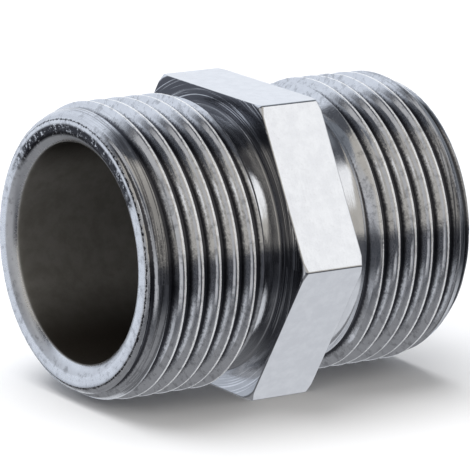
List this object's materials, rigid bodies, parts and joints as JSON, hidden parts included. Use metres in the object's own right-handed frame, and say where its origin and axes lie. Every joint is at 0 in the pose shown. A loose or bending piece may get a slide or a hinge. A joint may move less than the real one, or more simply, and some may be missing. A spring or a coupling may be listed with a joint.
{
  "type": "hex nipple",
  "caption": "Straight pipe nipple: two male parallel pipe threads of one size either side of a narrow hexagon, open bore right through, bright plated metal.",
  "frame": {"origin": "centre of the hexagon on the bore axis, which is the centre of the whole part", "axes": "+X along the bore axis towards the end with the wider neck, +Z square to a hexagon flat, so the part lies on the opposite flat"},
  "size_m": [0.0348, 0.0308, 0.0266],
  "materials": {
    "plated_brass": "bright chrome plate over machined brass"
  },
  "bodies": {
    "root": {"nipple_body": "plated_brass"}
  },
  "joints": []
}
